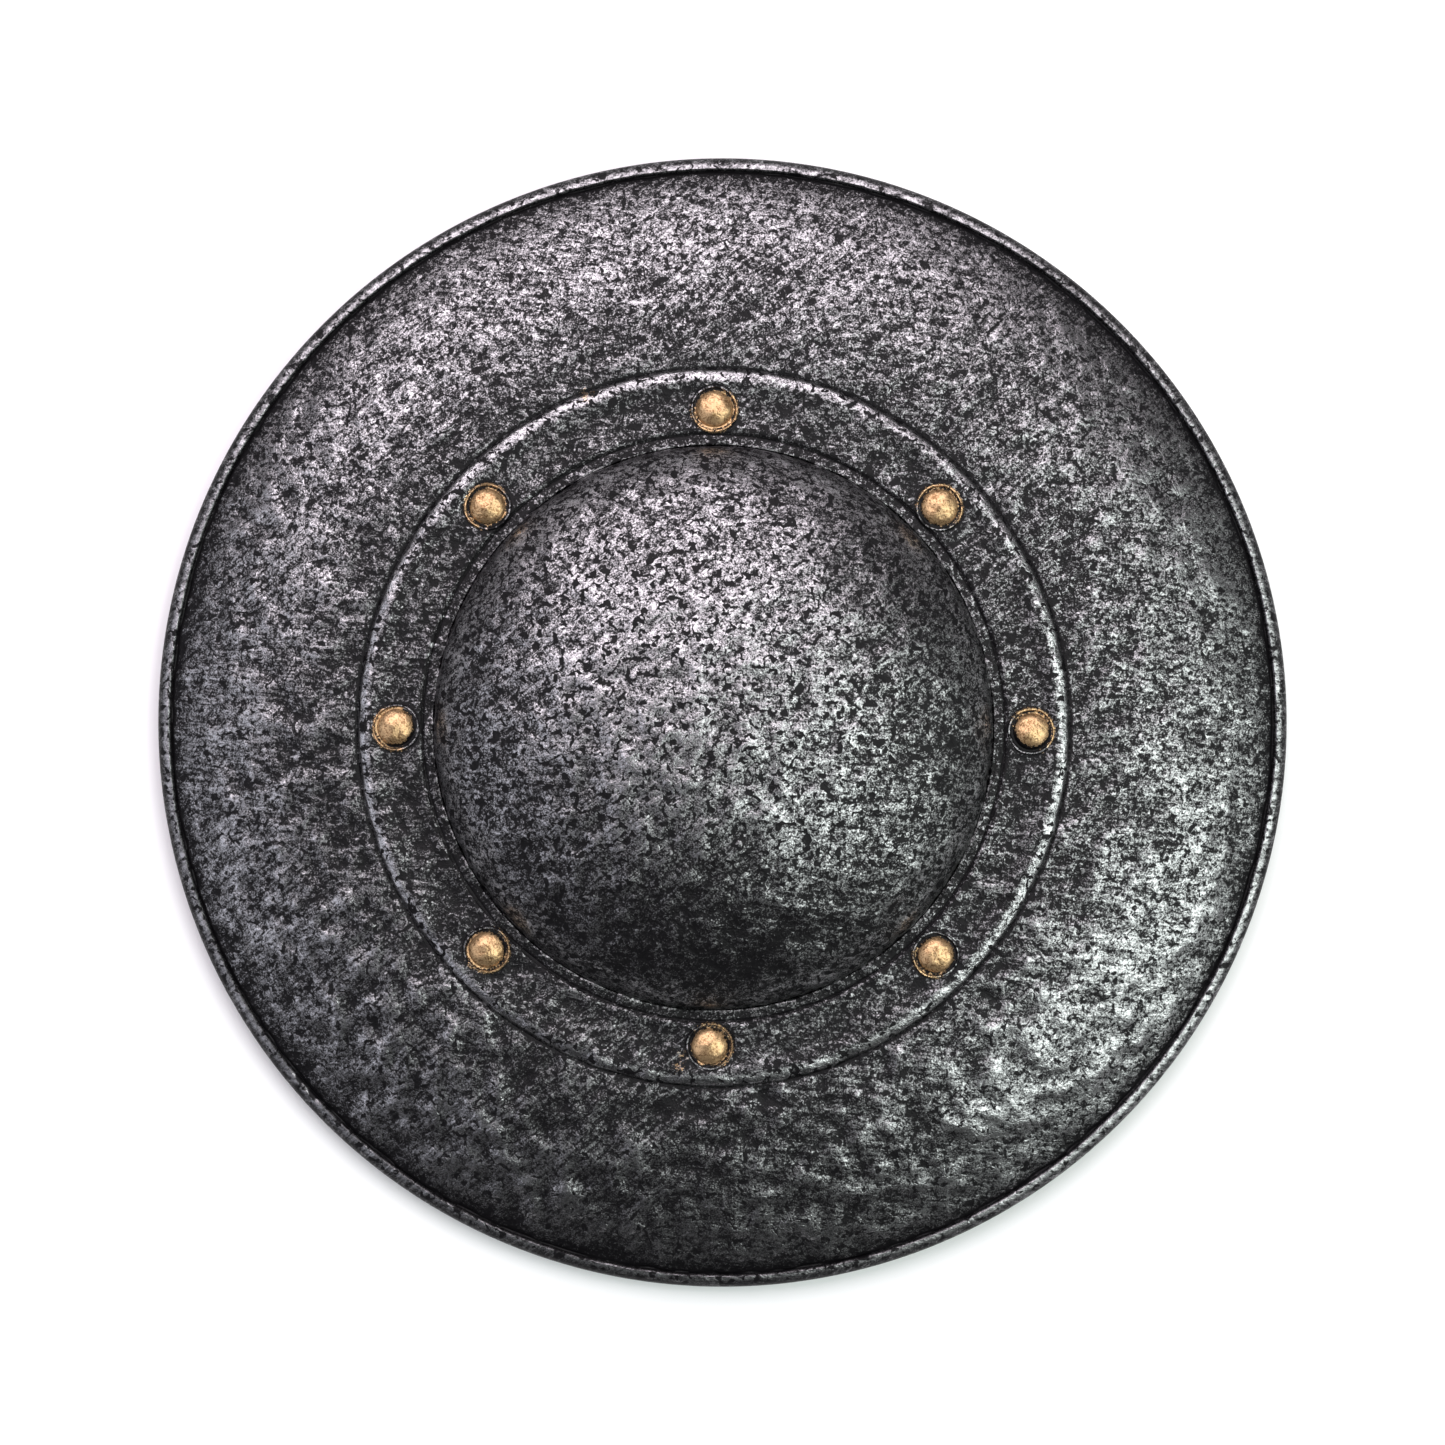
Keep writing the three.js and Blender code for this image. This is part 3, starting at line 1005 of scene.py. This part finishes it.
    def relief(self, point: Vector, rim_distance: float, boss_distance: float) -> float:
        """Height of the lumps and dents that the hand-made master left, in mm.

        Args:
            point: place in mm.
            rim_distance: distance from the rim's axis.
            boss_distance: distance from the boss's axis.

        Returns:
            Height above the smooth form.
        """
        swell = noise.noise(point / 24) * 0.4 + noise.noise(point / 11 + Vector((7, 3, 1))) * 0.6
        lumps = noise.noise(point / 5.2 + Vector((1, 9, 4))) * 1.05
        crease = (0.25 - abs(noise.noise(point / 9 + Vector((5, 5, 5))))) * 0.5
        on_brim = smoothstep(113, 118, boss_distance)
        on_brim *= smoothstep(self.seam_radius - 1, self.seam_radius - 14, rim_distance)
        on_boss = smoothstep(self.boss_radius - 2, self.boss_radius - 16, boss_distance)
        height = (swell + lumps) * (0.6 + 0.4 * max(on_brim, on_boss * 0.6))
        low_side = 1 - 0.5 * point.y / self.rim_radius - 0.15 * point.x / self.rim_radius
        return height * 0.7 * low_side + crease * on_brim

    def _carve(self, bm: bmesh.types.BMesh) -> None:
        """Adds the relief and writes the measures that the paint follows.

        Args:
            bm: closed mesh of body and studs.
        """
        layers = {
            name: bm.verts.layers.float.new(name)
            for name in ("rim_radius", "boss_radius", "relief", "front", "gold", "drag")
        }
        centre = Vector(self.centre)
        places = [(stud, Vector(self.stud_place(stud))) for stud in self.studs]
        reach = self.stud_radius + self.stud_moat + self.stud_collar
        bm.normal_update()
        moves: list[tuple[bmesh.types.BMVert, Vector]] = []
        for vert in bm.verts:
            flat = vert.co.xy
            rim_distance = flat.length
            from_boss = flat - centre
            boss_distance = math.hypot(from_boss.x / (1 - self.oval), from_boss.y / (1 + self.oval))
            face = self.front_height(rim_distance, boss_distance)
            front = smoothstep(face - self.wall + 0.5, face - 3, vert.co.z)
            if rim_distance > self.seam_radius:
                front = smoothstep(1.0, 6.0, vert.co.z)
            stud, place = min(places, key=lambda pair: (flat - pair[1]).length)
            from_stud = (flat - place).length
            gold = self.gold_depth(stud, flat - place) if front > 0 and from_stud < 12 else -5.0
            height = 0.0
            nicked = 0.0
            if front > 0 and rim_distance < self.seam_radius:
                height = self.relief(vert.co, rim_distance, boss_distance)
                height *= front * smoothstep(reach - 1, reach + 2.5, from_stud)
            if front > 0 and rim_distance > self.seam_radius - 3:
                nicked = self.nick(flat)
                flat_way = flat.normalized() * self.seam_stray(vert.co, rim_distance)
                moves.append((vert, Vector((flat_way.x, flat_way.y, -nicked * self.nick_depth))))
            vert[layers["rim_radius"]] = rim_distance
            vert[layers["boss_radius"]] = boss_distance
            # Stud paint, the painted shadow round stud feet and the painted side light and shade, as
            # pushes on the silver.
            paint_and_light_push = 0.0
            if front > 0:
                paint_and_light_push = self.stud_paint_and_shadow(from_stud) + self.painted_side_light(vert.co, boss_distance)
            # The relief measure carries these pushes too, so it holds painted light and shade as well as
            # height.
            vert[layers["relief"]] = height + paint_and_light_push - 6 * nicked
            vert[layers["front"]] = front
            vert[layers["drag"]] = self.drag(vert.co, boss_distance)
            vert[layers["gold"]] = max(gold, self.smudge_depth(flat)) if front > 0 else gold
            if height:
                moves.append((vert, vert.normal * height))
        for vert, move in moves:
            vert.co += move

    def build(self) -> bpy.types.Object:
        """Makes the whole moulding as one closed mesh.

        Returns:
            The object.
        """
        bm = bmesh.new()
        boss_edge = self._boss_bands(bm)
        front_rows = self._front_rows()
        spin_band(bm, front_rows, self.outer_segments)
        join_bands(bm, boss_edge, front_rows[0])
        self._shift(list(bm.verts), 114, 166, on_face=True)
        front = set(bm.verts)
        back_rows = self._back_rows()
        spin_band(bm, back_rows, self.back_segments)
        join_bands(bm, front_rows[-1], back_rows[0])
        self._shift([v for v in bm.verts if v not in front], 86, 108, on_face=False)
        bmesh.ops.recalc_face_normals(bm, faces=bm.faces)

        body = finished_object("shield_moulding", bm)
        studs = finished_object("stud_heads", self._stud_mesh())
        union = body.modifiers.new("studs", "BOOLEAN")
        union.operation = "UNION"
        union.solver = "MANIFOLD"
        union.object = studs
        graph = bpy.context.evaluated_depsgraph_get()
        joined = bpy.data.meshes.new_from_object(body.evaluated_get(graph))
        bpy.data.objects.remove(body)
        bpy.data.objects.remove(studs)

        bm = bmesh.new()
        bm.from_mesh(joined)
        bmesh.ops.transform(bm, matrix=Matrix.Scale(1 / MM, 4), verts=bm.verts)
        self._carve(bm)
        return finished_object("shield_moulding", bm)


@dataclass
class Grip:
    """The strap, bound into a firm roll in the middle. Sizes in mm."""

    strap_width: float = 28.0
    strap_thickness: float = 4.0
    strap_corner: float = 6.0
    strap_edge: float = 0.7
    strap_z: float = 14.7
    roll_length: float = 124.0
    roll_width: float = 32.0
    roll_thickness: float = 20.0
    roll_drop: float = 1.2
    roll_steps: int = 150
    roll_segments: int = 96
    lace_pitch: float = 9.0
    lace_depth: float = 0.7
    # Half width of the groove between two turns of lace, as a share of the pitch.
    lace_groove: float = 0.09

    def build(self, low: Vector, high: Vector) -> bpy.types.Object:
        """Makes strap and roll as one object.

        Args:
            low: lowest corner of the CAD grip, in mm.
            high: highest corner of the CAD grip, in mm.

        Returns:
            The object.
        """
        middle = (low + high) / 2
        bm = bmesh.new()
        made = bmesh.ops.create_cube(bm, size=1)["verts"]
        size = (self.strap_width, high.y - low.y, self.strap_thickness)
        bmesh.ops.scale(bm, vec=size, verts=made)
        rounded = {"affect": "EDGES", "profile": 0.5, "material": -1}
        upright = [e for e in bm.edges if abs(e.verts[0].co.z - e.verts[1].co.z) > 1]
        bmesh.ops.bevel(bm, geom=upright, offset=self.strap_corner, segments=8, **rounded)
        flat_edges = [e for e in bm.edges if abs(e.verts[0].co.z - e.verts[1].co.z) < 0.1]
        bmesh.ops.bevel(bm, geom=flat_edges, offset=self.strap_edge, segments=3, **rounded)
        bmesh.ops.translate(bm, verts=bm.verts, vec=(middle.x, middle.y, self.strap_z))

        rows: Profile = []
        for i in range(self.roll_steps + 1):
            angle = math.pi * i / self.roll_steps
            along = -self.roll_length / 2 * math.cos(angle)
            rows.append((self.roll_width / 2 * math.sin(angle) ** 0.5, along))
        roll = spin_band(bm, rows, self.roll_segments)
        for vert in roll:
            turn = math.atan2(vert.co.y, vert.co.x) / (2 * math.pi)
            phase = (vert.co.z / self.lace_pitch - turn) % 1
            groove = self.lace_depth * math.exp(-(((phase - 0.5) / self.lace_groove) ** 2))
            radius = vert.co.xy.length
            if radius > 1:
                vert.co.xy *= (radius - groove) / radius
        bmesh.ops.rotate(bm, verts=roll, cent=(0, 0, 0), matrix=Matrix.Rotation(math.radians(-90), 3, "X"))
        bmesh.ops.scale(bm, verts=roll, vec=(1, 1, self.roll_thickness / self.roll_width))
        bmesh.ops.translate(
            bm, verts=roll, vec=(middle.x, middle.y, self.strap_z - self.roll_drop)
        )
        bmesh.ops.recalc_face_normals(bm, faces=bm.faces)
        return finished_object("leather_grip", bm)


@dataclass
class Rivet:
    """A pressed rivet cap under the strap. Sizes in mm."""

    radius: float = 4.5
    height: float = 2.0
    shank: float = 2.0
    segments: int = 48

    def build(self, name: str, low: Vector, high: Vector) -> bpy.types.Object:
        """Makes the cap with its shank.

        Args:
            name: the object's name.
            low: lowest corner of the CAD rivet, in mm.
            high: highest corner of the CAD rivet, in mm.

        Returns:
            The object.
        """
        centre = (low + high) / 2
        seat = low.z + self.height
        crown = arc((0, seat), (self.radius, self.height), 0, -90, 14)
        profile = [
            (0.0, high.z),
            (self.shank - 0.3, high.z),
            (self.shank, high.z - 0.3),
            (self.shank, seat),
            (self.radius - 0.25, seat),
            *crown,
        ]
        bm = bmesh.new()
        spin_band(bm, profile, self.segments)
        bmesh.ops.translate(bm, verts=bm.verts, vec=(centre.x, centre.y, 0))
        bmesh.ops.recalc_face_normals(bm, faces=bm.faces)
        return finished_object(name, bm, crease=50)


@dataclass(frozen=True)
class Panel:
    """One soft panel over the shield: where it stands, its size and its light.

    The turn is counted from the right towards the photo's top, the lean from straight
    above. Angles are in degrees, sizes in metres, power in watts.
    """

    name: str
    turn: float
    lean: float
    size: Place
    power: float
    tint: str


@dataclass
class Studio:
    """Pale floor, soft lights and the camera over the shield's face. Sizes in metres."""

    frame_width: float = 1445 * 0.18 / 564.1
    distance: float = 1.0
    sensor: float = 36.0
    floor_size: float = 12.0
    floor_colour: str = "#f4f4f4"
    panel_distance: float = 1.6
    world_colour: str = "#fcfcff"
    world_strength: float = 0.03
    panels: tuple[Panel, ...] = (
        Panel("top_panel", 100, 38, (2.0, 1.6), 38.0, "#fff5fc"),
        Panel("right_panel", -17, 38, (1.2, 1.6), 23.0, "#f5fff9"),
        Panel("left_panel", 190, 51, (1.5, 1.3), 8.0, "#f1f3ff"),
    )

    def _light(self, panel: Panel) -> None:
        """Adds a soft panel aimed at the shield.

        Args:
            panel: its place, size and light.
        """
        data = bpy.data.lights.new(panel.name, "AREA")
        data.shape = "RECTANGLE"
        data.size, data.size_y = panel.size
        data.energy = panel.power
        data.color = linear(panel.tint)[:3]
        turn, lean = math.radians(panel.turn), math.radians(panel.lean)
        way = Vector((math.sin(lean) * math.cos(turn), math.sin(lean) * math.sin(turn), math.cos(lean)))
        obj = bpy.data.objects.new(panel.name, data)
        obj.location = way * self.panel_distance
        obj.rotation_euler = (-way).to_track_quat("-Z", "Y").to_euler()
        bpy.context.scene.collection.objects.link(obj)

    def build(self, rim_plane: float) -> None:
        """Makes floor, lights, world and camera.

        Args:
            rim_plane: height in metres at which the frame width is measured.
        """
        bm = bmesh.new()
        bmesh.ops.create_grid(bm, x_segments=1, y_segments=1, size=self.floor_size / 2)
        mesh = bpy.data.meshes.new("floor")
        bm.to_mesh(mesh)
        bm.free()
        floor = bpy.data.objects.new("floor", mesh)
        bpy.context.scene.collection.objects.link(floor)
        # Matte white background paper, which gives a shadow and no shine.
        paper, shader = new_material("white_paper_sweep")
        shader.inputs["Base Color"].default_value = linear(self.floor_colour)
        shader.inputs["Roughness"].default_value = 0.9
        mesh.materials.append(paper)

        for panel in self.panels:
            self._light(panel)

        world = bpy.data.worlds.new("studio")
        world.use_nodes = True
        background = world.node_tree.nodes["Background"]
        background.inputs["Color"].default_value = linear(self.world_colour)
        background.inputs["Strength"].default_value = self.world_strength
        bpy.context.scene.world = world

        data = bpy.data.cameras.new("camera")
        data.sensor_width = self.sensor
        data.lens = self.sensor * self.distance / self.frame_width
        camera = bpy.data.objects.new("camera", data)
        camera.location = (0, 0, rim_plane + self.distance)
        bpy.context.scene.collection.objects.link(camera)
        bpy.context.scene.camera = camera
        bpy.context.scene.view_settings.view_transform = "Standard"


def corners_mm(node: str) -> tuple[Vector, Vector]:
    """Lowest and highest corner of a CAD node in mm."""
    low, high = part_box(node)
    return low / MM, high / MM


def main() -> None:
    """Builds the studio, the moulding, the grip and the rivets."""
    Studio().build(rim_plane=8 * MM)

    _, high = corners_mm("shield_body")
    moulding = Moulding(rim_radius=high.x - RIM_SPARE)
    body = moulding.build()
    place_piece(body, PaintedSkin().material(), ["shield_body"])

    grip = Grip().build(*corners_mm("grip"))
    place_piece(grip, GripLeather().material(), ["grip"])

    steel = DarkenedSteel().material()
    for name in sorted(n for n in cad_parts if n.startswith("grip_rivet_")):
        rivet = Rivet().build(name + "_cap", *corners_mm(name))
        place_piece(rivet, steel, [name])


if __name__ == "__main__":
    main()
